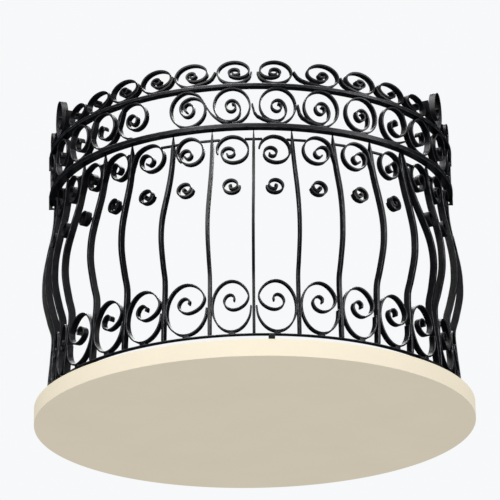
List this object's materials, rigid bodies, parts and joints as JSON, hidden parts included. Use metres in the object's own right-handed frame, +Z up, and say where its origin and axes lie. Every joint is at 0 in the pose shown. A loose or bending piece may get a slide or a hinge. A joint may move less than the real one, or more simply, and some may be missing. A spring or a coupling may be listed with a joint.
{
  "type": "balcony railing",
  "caption": "Half-round wrought-iron balcony railing with bellied balusters, curled scrolls and a scrolled cresting.",
  "frame": {"origin": "middle of the railing's box at floor level, on the feet's undersides", "axes": "+Z up, +Y towards the wall, -Y towards the street, +X to the right of somebody looking from the street"},
  "size_m": [1.7722, 0.889, 1.2854],
  "materials": {
    "black_iron": "satin"
  },
  "bodies": {
    "root": {"top_rail": "black_iron", "second_rail": "black_iron", "bottom_rail": "black_iron", "baluster_01": "black_iron", "baluster_02": "black_iron", "baluster_03": "black_iron", "baluster_04": "black_iron", "baluster_05": "black_iron", "baluster_06": "black_iron", "baluster_07": "black_iron", "baluster_08": "black_iron", "baluster_09": "black_iron", "baluster_10": "black_iron", "baluster_11": "black_iron", "baluster_12": "black_iron", "baluster_13": "black_iron", "baluster_14": "black_iron", "baluster_15": "black_iron", "baluster_16": "black_iron", "baluster_17": "black_iron", "cresting_left": "black_iron", "cresting_right": "black_iron", "middle_scrolls_left": "black_iron", "middle_scrolls_centre": "black_iron", "middle_scrolls_right": "black_iron", "croziers_left": "black_iron", "croziers_right": "black_iron", "small_scrolls_left": "black_iron", "small_scrolls_right": "black_iron", "bottom_scrolls_left": "black_iron", "bottom_scrolls_right": "black_iron", "bottom_collars": "black_iron", "foot_side_left": "black_iron", "foot_front": "black_iron", "foot_side_right": "black_iron", "wall_plate_top_left": "black_iron", "wall_plate_top_right": "black_iron", "wall_plate_middle_left": "black_iron", "wall_plate_middle_right": "black_iron", "wall_plate_bottom_left": "black_iron", "wall_plate_bottom_right": "black_iron"}
  },
  "joints": []
}
